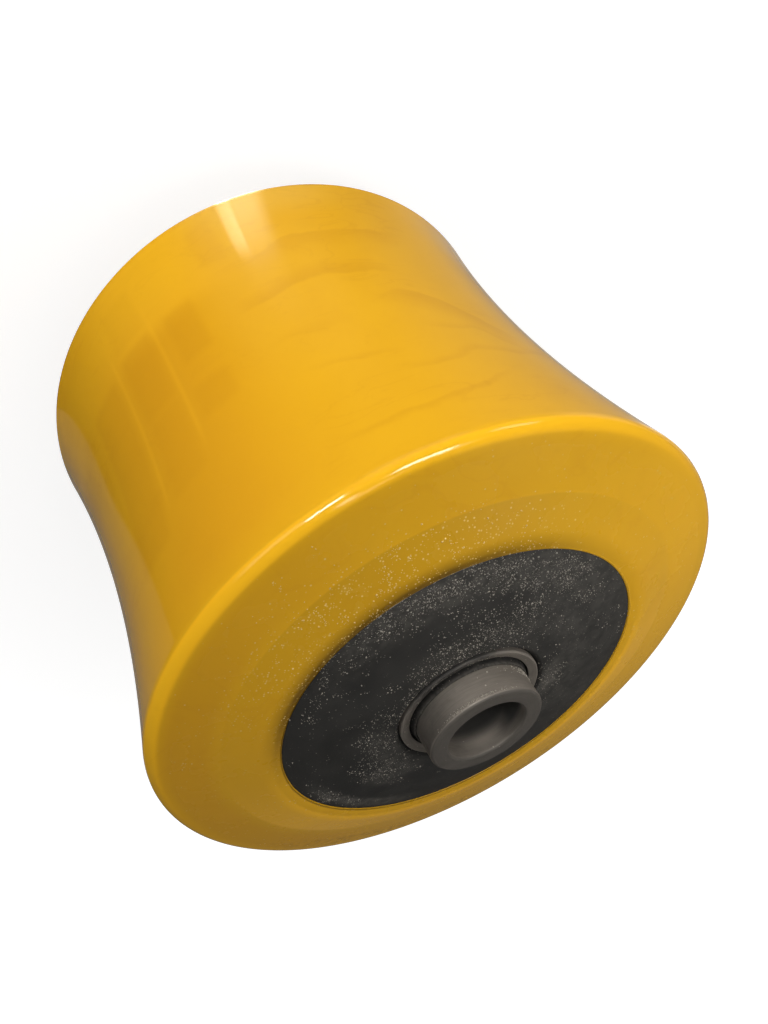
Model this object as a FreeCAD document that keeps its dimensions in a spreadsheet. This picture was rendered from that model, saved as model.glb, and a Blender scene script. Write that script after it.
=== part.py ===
import FreeCAD, Part

import math
import os

import Sketcher

# Cradle roller: an hourglass tyre on a hub that spins on a steel sleeve.
#
# The roller's axis is Z, and the sleeve's lower end stands at the origin. Both ends
# of the roller are alike. Each piece is drawn with its heights measured outwards from
# the roller's middle plane, and a piece of an end is then placed at the front (upper)
# or at the back (lower) end.

# Driving dimensions in millimetres: alias, value, meaning
DIMENSIONS = [
    ("rim_diameter", 196.0, "tyre across its rims, before their edges are rounded"),
    ("rim_width", 157.6, "tyre from rim to rim along the axis"),
    ("rim_round", 3.9, "radius that rounds each rim"),
    ("tread_dip", 6.6, "how far the waist lies inside the rims, the cradle's depth"),
    ("cone_rise", 4.3, "rise of the end face's outer cone, above the rim"),
    ("band_width", 10.4, "inner band of the end face, across the axis"),
    ("band_rise", 3.3, "rise of the inner band, above the cone"),
    ("lip_width", 7.2, "soft lip, from the inner band to the hub's bare face"),
    ("lip_rise", 0.1, "hub's edge above the start of the lip"),
    ("hub_diameter", 124.0, "hub under the tyre"),
    ("hub_edge_width", 2.2, "bevel between the hub's end face and its round, across"),
    ("hub_edge_drop", 2.4, "the same bevel along the axis"),
    ("hub_ridge_diameter", 78.0, "faint ridge where the hub's face turns flatter"),
    ("hub_ridge_rise", 3.0, "rise of the hub's face from its edge to the ridge"),
    ("hub_mouth_rise", 1.6, "rise of the hub's face from the ridge to the bore's mouth"),
    ("mouth_bevel", 1.6, "bevel at the mouth of the bearing bore"),
    ("sleeve_diameter", 38.0, "sleeve, ground as the needles' inner race"),
    ("sleeve_bore", 26.2, "bore of the sleeve, for the axle"),
    ("sleeve_stand", 10.2, "sleeve's end beyond the seal's metal rim"),
    ("sleeve_round", 1.1, "rounded outer edge at each end of the sleeve"),
    ("bore_round", 0.9, "rounded inner edge at each end of the sleeve"),
    ("seal_stand", 0.4, "seal's metal rim beyond the hub's face"),
    ("seal_width", 6.3, "seal case along the axis"),
    ("case_wall", 1.0, "sheet that the seal case is pressed from"),
    ("case_edge", 0.5, "bevel on the seal case's outer corner"),
    ("flange_dish", 0.9, "how far the case's flange dips towards its opening"),
    ("seal_skin", 0.24, "rubber over the edge of the flange's opening"),
    ("valley_width", 0.2, "groove between that rubber and the dust lip"),
    ("valley_depth", 2.0, "groove below the seal's metal rim"),
    ("dust_lip_wall", 0.75, "dust lip's thickness at its root"),
    ("dust_lip_rise", 0.9, "dust lip's tip beyond the seal's metal rim"),
    ("lip_gap", 0.06, "rubber lips off the sleeve"),
    ("lip_hollow", 0.45, "hollow between the seal's two lips, off the lips' edge"),
    ("lip_tip", 0.4, "thickness of a lip at its edge"),
    ("seal_web", 1.6, "rubber web behind the flange"),
    ("oil_lip_rise", 1.6, "oil lip's sealing edge above the seal's back"),
    ("oil_lip_inset", 0.2, "end of the oil lip inside the seal case"),
    ("garter_coil", 1.5, "garter spring's coil across"),
    ("garter_room", 0.05, "play between the garter spring and its groove"),
    ("garter_seat", 1.19, "rubber under the middle of the garter spring's coil"),
    ("garter_rise", 1.3, "middle of the garter spring above the seal's back"),
    ("bearing_gap", 0.8, "grease gap between seal and bearing"),
    ("bearing_width", 25.4, "needle bearing's cup along the axis"),
    ("cup_wall", 1.75, "wall of the drawn cup"),
    ("cup_flange", 1.2, "thickness of the cup's turned-in ends"),
    ("cup_gap", 1.0, "the cup's turned-in ends off the sleeve"),
    ("cup_round", 0.8, "rounded outer corners of the drawn cup"),
    ("needle_diameter", 2.95, "needle rollers across"),
    ("needle_count", 20.0, "needle rollers in each bearing"),
    ("needle_play", 0.05, "play of a needle in the cup, on the sleeve and in its pocket"),
    ("cage_gap", 0.5, "cage off the sleeve"),
    ("cage_room", 0.65, "cage off the cup's raceway"),
    ("cage_play", 0.3, "play of the cage in the cup, along the axis"),
    ("cage_rim", 2.15, "cage beyond its pockets, at each end"),
    ("washer_width", 1.5, "thrust washer's thickness"),
    ("washer_gap", 0.4, "thrust washer off the bearing bore"),
    ("washer_bevel", 0.3, "bevel on the thrust washer's outer edges"),
    ("running_play", 0.1, "play of the thrust washer, on the sleeve and on its ring"),
    ("ring_width", 1.5, "retaining ring's thickness"),
    ("ring_stand", 2.0, "retaining ring beyond the sleeve's outside"),
    ("ring_opening", 5.0, "gap between the retaining ring's ends"),
    ("ring_fit", 0.05, "play of the retaining ring in its groove"),
    ("groove_depth", 1.1, "the ring's groove in the sleeve"),
]

ENDS = ("front", "back")
SAME_PLACE = 1e-4
LEAST_CUT = 1e-3

ALIASES = {alias for alias, size, meaning in DIMENSIONS}

doc = FreeCAD.newDocument("cradle_roller")
sheet = doc.addObject("Spreadsheet::Sheet", "Dims")
for row, (alias, size, meaning) in enumerate(DIMENSIONS, 1):
    sheet.set(f"A{row}", meaning)
    sheet.set(f"B{row}", str(size))
    sheet.setAlias(f"B{row}", alias)
doc.recompute()

# Heights of the tyre and the hub, from the middle plane outwards
RIM = "rim_width / 2"
CONE_EDGE = f"({RIM} + cone_rise)"
LIP_START = f"({CONE_EDGE} + band_rise)"
HUB_EDGE = f"({LIP_START} + lip_rise)"
HUB_BEVEL = f"({HUB_EDGE} - hub_edge_drop)"
HUB_RIDGE = f"({HUB_EDGE} + hub_ridge_rise)"
HUB_MOUTH = f"({HUB_RIDGE} + hub_mouth_rise)"

# Heights of the seal and the sleeve's end
SEAL_TOP = f"({HUB_MOUTH} + seal_stand)"
SEAL_BACK = f"({SEAL_TOP} - seal_width)"
FLANGE_EDGE = f"({SEAL_TOP} - flange_dish)"
FLANGE_BACK = f"({FLANGE_EDGE} - case_wall)"
CASE_CORNER = f"({FLANGE_BACK} + flange_dish / 2)"
GARTER_HEIGHT = f"({SEAL_BACK} + garter_rise)"
SLEEVE_END = f"({SEAL_TOP} + sleeve_stand)"

# Heights of the bearing and of what holds the sleeve, from the seal inwards
CUP_TOP = f"({SEAL_BACK} - bearing_gap)"
CUP_BOTTOM = f"({CUP_TOP} - bearing_width)"
CAGE_TOP = f"({CUP_TOP} - cup_flange - cage_play)"
CAGE_BOTTOM = f"({CUP_BOTTOM} + cup_flange + cage_play)"
POCKET_TOP = f"({CAGE_TOP} - cage_rim)"
POCKET_BOTTOM = f"({CAGE_BOTTOM} + cage_rim)"
RING_TOP = f"({CUP_BOTTOM} - washer_width - running_play)"
RING_BOTTOM = f"({RING_TOP} - ring_width)"

# Radii of the sleeve, the bearing and the seal, from the sleeve outwards
SLEEVE = "sleeve_diameter / 2"
NEEDLE = "needle_diameter / 2"
RACEWAY = f"({SLEEVE} + needle_diameter + 2 * needle_play)"
PITCH = f"(({SLEEVE} + {RACEWAY}) / 2)"
CAGE_INNER = f"({SLEEVE} + cage_gap)"
CAGE_OUTER = f"({RACEWAY} - cage_room)"
CUP_OPENING = f"({SLEEVE} + cup_gap)"
BORE = f"({RACEWAY} + cup_wall)"
LIP_EDGE = f"({SLEEVE} + lip_gap)"
HOLLOW = f"({LIP_EDGE} + lip_hollow)"
DUST_LIP_ROOT = f"({HOLLOW} + dust_lip_wall)"
VALLEY = f"({DUST_LIP_ROOT} + valley_width)"
OPENING = f"({VALLEY} + seal_skin)"
GARTER = f"({HOLLOW} + garter_seat)"
CASE_INNER = f"({BORE} - case_wall)"
GROOVE = f"({SLEEVE} - groove_depth)"
RING_OUTER = f"({SLEEVE} + ring_stand)"

# Radii of the hub and the tyre
HUB = "hub_diameter / 2"
HUB_FACE = f"({HUB} - hub_edge_width)"
LIP_OUTER = f"({HUB_FACE} + lip_width)"
BAND_OUTER = f"({LIP_OUTER} + band_width)"
RIM_EDGE = "rim_diameter / 2"
WAIST = f"({RIM_EDGE} - tread_dip)"


def from_sheet(text):
    """The same expression with each alias read from the sheet."""
    found = []
    word = ""
    for letter in text + " ":
        if letter.isalnum() or letter in "_.":
            word += letter
            continue
        found.append(f"Dims.{word}" if word in ALIASES else word)
        found.append(letter)
        word = ""
    return "".join(found).strip()


def size_of(text):
    """The number that an expression gives."""
    return float(sheet.evalExpression(from_sheet(text)))


def new_body(name):
    body = doc.addObject("PartDesign::Body", name)
    body.Label = name
    return body


def plane_of(body, role):
    return next(item for item in body.Origin.OriginFeatures if item.Role == role)


def new_sketch(body, name, role="XZ_Plane"):
    """Sketch on one of the body's own planes. On XZ, across is the radius and up is Z."""
    sketch = body.newObject("Sketcher::SketchObject", f"{body.Label}_{name}")
    sketch.AttachmentSupport = [(plane_of(body, role), "")]
    sketch.MapMode = "FlatFace"
    return sketch


def point_at(corner):
    across, up = corner
    return FreeCAD.Vector(size_of(across), size_of(up), 0)


def bind(sketch, kind, parts, expression):
    """Adds a constraint whose size follows the sheet."""
    number = sketch.addConstraint(Sketcher.Constraint(kind, *parts, size_of(expression)))
    sketch.setExpression(f"Constraints[{number}]", from_sheet(expression))


def pin_point(sketch, side, end, corner):
    """Holds one end of a side at its distances from the sketch's origin."""
    across, up = corner
    bind(sketch, "DistanceX", (-1, 1, side, end), across)
    if up == "0":
        sketch.addConstraint(Sketcher.Constraint("PointOnObject", side, end, -1))
    else:
        bind(sketch, "DistanceY", (-1, 1, side, end), up)


def join(sketch, first, first_end, second, second_end):
    sketch.addConstraint(Sketcher.Constraint("Coincident", first, first_end, second, second_end))


def draw_section(sketch, corners):
    """Closed section with straight sides through its corners, in order."""
    points = [point_at(corner) for corner in corners]
    ends = points[1:] + points[:1]
    sides = []
    for start, end in zip(points, ends):
        sides.append(sketch.addGeometry(Part.LineSegment(start, end), False))
    for side, before, corner in zip(sides, sides[-1:] + sides[:-1], corners):
        join(sketch, before, 2, side, 1)
        pin_point(sketch, side, 1, corner)


def draw_circle(sketch, centre, radius):
    circle = Part.Circle(point_at(centre), FreeCAD.Vector(0, 0, 1), size_of(radius))
    side = sketch.addGeometry(circle, False)
    pin_point(sketch, side, 3, centre)
    bind(sketch, "Radius", (side,), radius)


def add_feature(body, kind, name, sketch):
    feature = body.newObject(f"PartDesign::{kind}", f"{body.Label}_{name}")
    feature.Profile = sketch
    return feature


def turn(body, sketch, kind="Revolution", name="turned"):
    """Turns a section once round the roller's axis."""
    turned = add_feature(body, kind, name, sketch)
    turned.ReferenceAxis = (sketch, ["V_Axis"])
    turned.Angle = 360
    doc.recompute()
    return turned


def cut_checked(body, before, name):
    """Stops if the last feature took nothing away."""
    doc.recompute()
    if body.Shape.Volume > before - LEAST_CUT:
        raise RuntimeError(f"{body.Label}: {name} cuts nothing")


def turned_piece(name, corners):
    """A piece that is its section turned round the axis."""
    body = new_body(name)
    sketch = new_sketch(body, "section")
    draw_section(sketch, corners)
    turn(body, sketch)
    return body


def mirror_half(body):
    """Adds the other half of a piece that is alike on both sides of the middle plane."""
    half = body.Tip
    mirrored = body.newObject("PartDesign::Mirrored", f"{body.Label}_both_halves")
    mirrored.Originals = [half]
    mirrored.MirrorPlane = (plane_of(body, "XY_Plane"), [""])
    body.Tip = mirrored
    doc.recompute()


def repeat_round(body, feature, count):
    """Repeats a feature evenly round the axis."""
    pattern = body.newObject("PartDesign::PolarPattern", f"{body.Label}_round")
    pattern.Originals = [feature]
    pattern.Axis = (plane_of(body, "Z_Axis"), [""])
    pattern.Angle = 360
    pattern.setExpression("Occurrences", from_sheet(count))
    body.Tip = pattern
    doc.recompute()


def edges_at(shape, corner):
    """Names of the circular edges with this radius and distance from the middle plane."""
    radius, height = (size_of(expression) for expression in corner)
    names = []
    for number, edge in enumerate(shape.Edges, 1):
        if not isinstance(edge.Curve, Part.Circle):
            continue
        off_radius = abs(edge.Curve.Radius - radius)
        off_height = abs(abs(edge.Curve.Center.z) - height)
        if max(off_radius, off_height) < SAME_PLACE:
            names.append(f"Edge{number}")
    return names


def round_edges(body, name, corners, radius):
    """Rounds the edges that lie at some corners of the section."""
    base = body.Tip
    names = []
    for corner in corners:
        names += edges_at(base.Shape, corner)
    if not names:
        raise RuntimeError(f"{body.Label}: no edge to round for {name}")
    rounded = body.newObject("PartDesign::Fillet", f"{body.Label}_{name}")
    rounded.Base = (base, names)
    rounded.setExpression("Radius", from_sheet(radius))
    body.Tip = rounded
    doc.recompute()


def place(body, end="front"):
    """Moves a piece to its end of the standing roller."""
    half_turn = 180 if end == "back" else 0
    turned = FreeCAD.Rotation(FreeCAD.Vector(1, 0, 0), half_turn)
    body.Placement = FreeCAD.Placement(FreeCAD.Vector(0, 0, 0), turned)
    body.setExpression("Placement.Base.z", from_sheet(SLEEVE_END))


def tangent_arc(start, end, heading):
    """Counter-clockwise arc that leaves start along heading and ends at end."""
    left = FreeCAD.Vector(-heading.y, heading.x, 0)
    chord = end - start
    radius = chord.Length ** 2 / (2 * chord.dot(left))
    centre = start + left * radius
    circle = Part.Circle(centre, FreeCAD.Vector(0, 0, 1), radius)
    first, last = (math.atan2(p.y - centre.y, p.x - centre.x) for p in (start, end))
    return Part.ArcOfCircle(circle, first, last)


def make_tyre():
    """Tyre: an arc for the cradle, coned end faces and a soft lip over the hub's edge."""
    body = new_body("tyre")
    sketch = new_sketch(body, "half_section")
    inside = (HUB, "0")
    waist = (WAIST, "0")
    rim = (RIM_EDGE, RIM)
    band = (BAND_OUTER, CONE_EDGE)
    lip = (LIP_OUTER, LIP_START)
    edge = (HUB_FACE, HUB_EDGE)
    bevel = (HUB, HUB_BEVEL)

    dip = point_at(rim) - point_at(waist)
    tread_radius = dip.Length ** 2 / (2 * dip.x)
    tread_centre = point_at(waist) + FreeCAD.Vector(tread_radius, 0, 0)
    tread_circle = Part.Circle(tread_centre, FreeCAD.Vector(0, 0, 1), tread_radius)
    rim_angle = math.pi - math.asin(dip.y / tread_radius)
    slope = (point_at(lip) - point_at(band)).normalize()

    middle = sketch.addGeometry(Part.LineSegment(point_at(inside), point_at(waist)), False)
    tread = sketch.addGeometry(Part.ArcOfCircle(tread_circle, rim_angle, math.pi), False)
    cone = sketch.addGeometry(Part.LineSegment(point_at(rim), point_at(band)), False)
    inner = sketch.addGeometry(Part.LineSegment(point_at(band), point_at(lip)), False)
    roll = sketch.addGeometry(tangent_arc(point_at(lip), point_at(edge), slope), False)
    seat = sketch.addGeometry(Part.LineSegment(point_at(edge), point_at(bevel)), False)
    bond = sketch.addGeometry(Part.LineSegment(point_at(bevel), point_at(inside)), False)

    join(sketch, middle, 2, tread, 2)
    join(sketch, tread, 1, cone, 1)
    join(sketch, cone, 2, inner, 1)
    join(sketch, roll, 2, seat, 1)
    join(sketch, seat, 2, bond, 1)
    join(sketch, bond, 2, middle, 1)
    sketch.addConstraint(Sketcher.Constraint("Tangent", inner, 2, roll, 1))
    sketch.addConstraint(Sketcher.Constraint("PointOnObject", tread, 3, -1))
    for side, corner in ((middle, inside), (cone, rim), (inner, band), (seat, edge), (bond, bevel)):
        pin_point(sketch, side, 1, corner)
    pin_point(sketch, middle, 2, waist)
    pin_point(sketch, inner, 2, lip)

    turn(body, sketch)
    mirror_half(body)
    round_edges(body, "rims", [rim], "rim_round")
    place(body)


def make_hub():
    """Hub: a solid moulding with gently coned end faces and one straight bearing bore."""
    body = turned_piece(
        "hub",
        [
            (BORE, "0"),
            (HUB, "0"),
            (HUB, HUB_BEVEL),
            (HUB_FACE, HUB_EDGE),
            ("hub_ridge_diameter / 2", HUB_RIDGE),
            (f"{BORE} + mouth_bevel", HUB_MOUTH),
            (BORE, f"{HUB_MOUTH} - mouth_bevel"),
        ],
    )
    mirror_half(body)
    place(body)


def make_sleeve():
    """Sleeve: the tube that the axle holds still, with two grooves for the rings."""
    groove_top = f"{RING_TOP} + ring_fit"
    groove_bottom = f"{RING_BOTTOM} - ring_fit"
    outer_end = (SLEEVE, SLEEVE_END)
    inner_end = ("sleeve_bore / 2", SLEEVE_END)
    body = turned_piece(
        "sleeve",
        [
            ("sleeve_bore / 2", "0"),
            (SLEEVE, "0"),
            (SLEEVE, groove_bottom),
            (GROOVE, groove_bottom),
            (GROOVE, groove_top),
            (SLEEVE, groove_top),
            outer_end,
            inner_end,
        ],
    )
    mirror_half(body)
    round_edges(body, "outer_edges", [outer_end], "sleeve_round")
    round_edges(body, "inner_edges", [inner_end], "bore_round")
    place(body)


def make_seal_case(end):
    """Seal case: a pressed ring with a wall in the bore and a dished flange outside."""
    body = turned_piece(
        f"{end}_seal_case",
        [
            (BORE, SEAL_BACK),
            (BORE, f"{SEAL_TOP} - case_edge"),
            (f"{BORE} - case_edge", SEAL_TOP),
            (OPENING, FLANGE_EDGE),
            (OPENING, FLANGE_BACK),
            (CASE_INNER, CASE_CORNER),
            (CASE_INNER, SEAL_BACK),
        ],
    )
    place(body, end)


def make_seal_lip(end):
    """Seal rubber: a web behind the flange, a dust lip outwards and an oil lip inwards."""
    valley_floor = f"{SEAL_TOP} - valley_depth"
    web_back = f"{valley_floor} - seal_web"
    dust_tip = f"{SEAL_TOP} + dust_lip_rise"
    oil_end = f"{SEAL_BACK} + oil_lip_inset"
    body = turned_piece(
        f"{end}_seal_lip",
        [
            (CASE_INNER, CASE_CORNER),
            (OPENING, FLANGE_BACK),
            (OPENING, FLANGE_EDGE),
            (VALLEY, valley_floor),
            (DUST_LIP_ROOT, valley_floor),
            (f"{LIP_EDGE} + lip_tip", dust_tip),
            (LIP_EDGE, f"{dust_tip} - lip_tip"),
            (HOLLOW, valley_floor),
            (HOLLOW, web_back),
            (LIP_EDGE, f"{SEAL_BACK} + oil_lip_rise"),
            (f"{LIP_EDGE} + lip_tip", oil_end),
            (GARTER, oil_end),
            (GARTER, web_back),
            (CASE_INNER, web_back),
        ],
    )
    before = body.Shape.Volume
    groove = new_sketch(body, "garter_groove")
    draw_circle(groove, (GARTER, GARTER_HEIGHT), "garter_coil / 2 + garter_room")
    turn(body, groove, "Groove", "grooved")
    cut_checked(body, before, "garter groove")
    place(body, end)


def make_garter_spring(end):
    """Garter spring: the closed coil that presses the oil lip, as a plain ring."""
    body = new_body(f"{end}_garter_spring")
    sketch = new_sketch(body, "section")
    draw_circle(sketch, (GARTER, GARTER_HEIGHT), "garter_coil / 2")
    turn(body, sketch)
    place(body, end)


def make_bearing_cup(end):
    """Bearing cup: drawn from sheet, with both ends turned in over the cage."""
    body = turned_piece(
        f"{end}_bearing_cup",
        [
            (BORE, CUP_BOTTOM),
            (BORE, CUP_TOP),
            (CUP_OPENING, CUP_TOP),
            (CUP_OPENING, f"{CUP_TOP} - cup_flange"),
            (RACEWAY, f"{CUP_TOP} - cup_flange"),
            (RACEWAY, f"{CUP_BOTTOM} + cup_flange"),
            (CUP_OPENING, f"{CUP_BOTTOM} + cup_flange"),
            (CUP_OPENING, CUP_BOTTOM),
        ],
    )
    round_edges(body, "corners", [(BORE, CUP_TOP), (BORE, CUP_BOTTOM)], "cup_round")
    place(body, end)


def make_needle_cage(end):
    """Cage: a ring with one open pocket for each needle."""
    body = turned_piece(
        f"{end}_needle_cage",
        [
            (CAGE_INNER, CAGE_BOTTOM),
            (CAGE_OUTER, CAGE_BOTTOM),
            (CAGE_OUTER, CAGE_TOP),
            (CAGE_INNER, CAGE_TOP),
        ],
    )
    before = body.Shape.Volume
    half_width = f"({NEEDLE} + needle_play)"
    window = new_sketch(body, "pocket_outline")
    draw_section(
        window,
        [
            (f"-{half_width}", POCKET_BOTTOM),
            (half_width, POCKET_BOTTOM),
            (half_width, POCKET_TOP),
            (f"-{half_width}", POCKET_TOP),
        ],
    )
    pocket = add_feature(body, "Pocket", "pocket", window)
    pocket.setExpression("Length", from_sheet(BORE))
    cut_checked(body, before, "needle pocket")
    repeat_round(body, pocket, "needle_count")
    place(body, end)


def make_needles(end):
    """Needle rollers: separate plain pins, one in the middle of each pocket."""
    body = new_body(f"{end}_needles")
    body.AllowCompound = True
    sketch = new_sketch(body, "pin_outline", "XY_Plane")
    sketch.setExpression("AttachmentOffset.Base.z", from_sheet(f"{POCKET_BOTTOM} + needle_play"))
    circle = Part.Circle(point_at(("0", PITCH)), FreeCAD.Vector(0, 0, 1), size_of(NEEDLE))
    side = sketch.addGeometry(circle, False)
    sketch.addConstraint(Sketcher.Constraint("PointOnObject", side, 3, -2))
    bind(sketch, "DistanceY", (-1, 1, side, 3), PITCH)
    bind(sketch, "Radius", (side,), NEEDLE)
    pin = add_feature(body, "Pad", "pin", sketch)
    pin.setExpression("Length", from_sheet(f"{POCKET_TOP} - {POCKET_BOTTOM} - 2 * needle_play"))
    doc.recompute()
    repeat_round(body, pin, "needle_count")
    place(body, end)


def make_thrust_washer(end):
    """Thrust washer: runs between the cup's inner end and the retaining ring."""
    bottom = f"{CUP_BOTTOM} - washer_width"
    inner = f"{SLEEVE} + running_play"
    outer = f"{BORE} - washer_gap"
    body = turned_piece(
        f"{end}_thrust_washer",
        [
            (inner, bottom),
            (f"{outer} - washer_bevel", bottom),
            (outer, f"{bottom} + washer_bevel"),
            (outer, f"{CUP_BOTTOM} - washer_bevel"),
            (f"{outer} - washer_bevel", CUP_BOTTOM),
            (inner, CUP_BOTTOM),
        ],
    )
    place(body, end)


def make_retaining_ring(end):
    """Retaining ring: an open ring of even section, sprung into the sleeve's groove."""
    body = turned_piece(
        f"{end}_retaining_ring",
        [
            (f"{GROOVE} + ring_fit", RING_BOTTOM),
            (RING_OUTER, RING_BOTTOM),
            (RING_OUTER, RING_TOP),
            (f"{GROOVE} + ring_fit", RING_TOP),
        ],
    )
    open_angle = f"360 * ring_opening / (2 * pi * {RING_OUTER})"
    body.Tip.setExpression("Angle", from_sheet(f"360 - {open_angle}"))
    place(body, end)


def check_and_export():
    """Stops on a failed feature or an unsound piece, then writes each piece to its file."""
    doc.recompute()
    for item in doc.Objects:
        if "Invalid" in item.State or "Error" in item.State:
            raise RuntimeError(f"{item.Name} failed: {item.State}")
    bodies = [item for item in doc.Objects if item.TypeId == "PartDesign::Body"]
    for body in bodies:
        if body.Shape.isNull() or not body.Shape.isValid():
            raise RuntimeError(f"{body.Label} has no sound shape")
    os.makedirs("parts", exist_ok=True)
    for body in bodies:
        shape = body.Shape
        shape.exportStep(f"parts/{body.Label}.step")
        print(f"{body.Label}: {len(shape.Solids)} solids, {shape.Volume:.1f} mm3")


make_tyre()
make_hub()
make_sleeve()
for end in ENDS:
    make_seal_case(end)
    make_seal_lip(end)
    make_garter_spring(end)
    make_bearing_cup(end)
    make_needle_cage(end)
    make_needles(end)
    make_thrust_washer(end)
    make_retaining_ring(end)
check_and_export()
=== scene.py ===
"""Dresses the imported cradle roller: tyre, hub, sleeve, seals, hidden bearings, sand and stage."""

import math
from functools import cached_property, partial

import bpy
import numpy as np
from bpy.props import FloatProperty, FloatVectorProperty, IntProperty, PointerProperty
from mathutils import Matrix, Vector


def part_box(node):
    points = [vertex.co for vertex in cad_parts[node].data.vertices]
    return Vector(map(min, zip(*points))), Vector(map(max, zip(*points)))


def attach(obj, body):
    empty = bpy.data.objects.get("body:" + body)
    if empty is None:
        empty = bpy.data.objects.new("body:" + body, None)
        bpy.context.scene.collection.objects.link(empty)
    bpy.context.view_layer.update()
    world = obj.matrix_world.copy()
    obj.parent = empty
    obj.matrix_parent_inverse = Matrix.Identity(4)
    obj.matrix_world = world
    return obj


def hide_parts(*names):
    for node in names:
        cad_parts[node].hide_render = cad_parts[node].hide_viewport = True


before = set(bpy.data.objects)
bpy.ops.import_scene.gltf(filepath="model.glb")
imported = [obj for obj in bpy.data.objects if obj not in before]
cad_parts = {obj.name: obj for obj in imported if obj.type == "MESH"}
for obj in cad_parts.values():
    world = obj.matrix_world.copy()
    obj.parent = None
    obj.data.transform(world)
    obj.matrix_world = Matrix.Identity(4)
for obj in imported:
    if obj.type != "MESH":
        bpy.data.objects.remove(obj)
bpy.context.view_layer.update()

bl_info = {
    "name": "Cradle Roller",
    "version": (1, 0, 0),
    "blender": (4, 5, 0),
    "location": "3D View > Sidebar > Roller",
    "description": "Builds the surfaces, finishes and stage of an hourglass cradle roller",
    "category": "Add Mesh",
}

MM = 0.001
SLEEVE_LOW, SLEEVE_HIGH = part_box("sleeve")
MIDDLE = (SLEEVE_LOW.z + SLEEVE_HIGH.z) / 2
SLEEVE_RADIUS = SLEEVE_HIGH.x
SLEEVE_END = SLEEVE_HIGH.z - MIDDLE
HUB_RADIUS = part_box("hub")[1].x
SEAL_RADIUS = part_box("front_seal_case")[1].x
ENDS = (("front", 1), ("back", -1))


# Sizes and colours


def setting(kind, name, description, value, **limits):
    """A value that the sidebar shows."""
    return kind(name=name, description=description, default=value, **limits)


length = partial(setting, FloatProperty, min=0.0, precision=5, unit="LENGTH")
watts = partial(setting, FloatProperty, min=0.0, unit="POWER")
share = partial(setting, FloatProperty, min=0.0, max=1.0, subtype="FACTOR")
colour = partial(setting, FloatVectorProperty, size=3, min=0.0, max=1.0, subtype="COLOR")
number = partial(setting, IntProperty)


class RollerSizes(bpy.types.PropertyGroup):
    """Lengths of the roller's turned pieces. Heights are measured from the middle of the sleeve."""

    rim_radius: length("Rim radius", "Radius of the corner between tread and end face", 98.0 * MM)
    rim_height: length("Rim height", "Height of the corner between tread and end face", 78.8 * MM)
    rim_round: length("Rim rounding", "Rounding of the tyre's rims", 3.9 * MM)
    waist_radius: length("Waist radius", "Radius at the tread's lowest point", 91.4 * MM)
    band_radius: length("Band radius", "Where the outer cone meets the steeper inner band", 77.4 * MM)
    band_height: length("Band height", "Height of that edge", 83.1 * MM)
    lip_radius: length("Lip radius", "Where the tyre's lip starts to roll over the hub", 67.0 * MM)
    lip_height: length("Lip height", "Height of the lip's start", 86.4 * MM)
    hub_radius: length("Hub radius", "Radius of the bond between hub and tyre", HUB_RADIUS)
    hub_edge_radius: length("Hub edge radius", "Radius of the hub's visible edge", 59.8 * MM)
    hub_edge_height: length("Hub edge height", "Height of the hub's visible edge", 86.5 * MM)
    bevel_height: length("Bevel height", "Where the hub's bevel leaves the bond", 84.1 * MM)
    ridge_radius: length("Ridge radius", "Soft ridge on the hub's end face", 39.0 * MM)
    ridge_height: length("Ridge height", "Height of the ridge", 89.5 * MM)
    mouth_radius: length("Mouth radius", "Outer edge of the bevel at the hub's mouth", 25.4 * MM)
    mouth_height: length("Mouth height", "Height of the hub's mouth", 91.1 * MM)
    bore_radius: length("Hub bore radius", "Radius of the hub's bore", SEAL_RADIUS)
    sleeve_radius: length("Sleeve radius", "Outside of the sleeve", SLEEVE_RADIUS)
    sleeve_bore: length("Sleeve bore", "Radius of the hole for the axle", 13.1 * MM)
    sleeve_end: length("Sleeve end", "Height of the sleeve's end face", SLEEVE_END)
    outline_step: length("Outline step", "Longest side of a face along an outline", 1.3 * MM)
    steps_round: number("Steps round", "Faces round the tyre and the hub", 240, min=24)
    sleeve_steps: number("Sleeve steps", "Faces round the sleeve and the seals", 168, min=24)


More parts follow.
